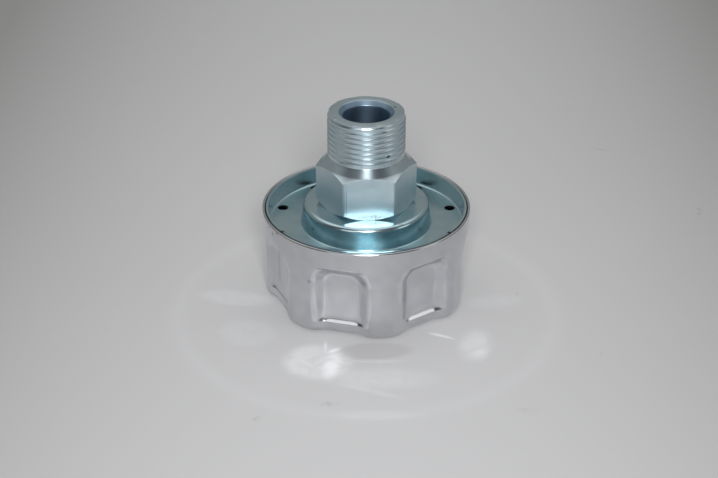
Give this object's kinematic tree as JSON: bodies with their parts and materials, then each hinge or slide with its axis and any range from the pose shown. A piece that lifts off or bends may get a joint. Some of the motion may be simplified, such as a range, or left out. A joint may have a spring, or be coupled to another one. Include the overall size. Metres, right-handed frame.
{
  "type": "hydraulic filler breather",
  "caption": "Hydraulic filler breather: drawn metal cap with finger grips, vented base plate and hexagon neck with male pipe thread.",
  "frame": {"origin": "middle of the crown's outer face, which the breather stands on", "axes": "+Z along the neck, from the crown towards the threaded end; -Y is the side seen in the picture; in use the part is screwed in the other way up, neck down"},
  "size_m": [0.0714, 0.0714, 0.0689],
  "materials": {
    "cap_finish": "satin",
    "blue_zinc": "bright",
    "bare_steel": "satin",
    "seal_rubber": "matt",
    "filter_paper": "matt"
  },
  "bodies": {
    "root": {"cap_shell": "cap_finish", "base_plate": "blue_zinc", "threaded_neck": "blue_zinc", "neck_seal": "seal_rubber", "neck_washer": "blue_zinc", "neck_locknut": "blue_zinc", "lower_gasket": "seal_rubber", "upper_gasket": "seal_rubber", "lower_end_disc": "bare_steel", "upper_end_disc": "bare_steel", "core_tube": "bare_steel", "pleated_media": "filter_paper", "outer_cage": "bare_steel", "crown_stud": "bare_steel", "splash_baffle": "bare_steel", "baffle_nuts": "blue_zinc", "neck_spider": "blue_zinc", "plain_washer": "blue_zinc", "spring_washer": "blue_zinc", "tie_nut": "blue_zinc"}
  },
  "joints": []
}
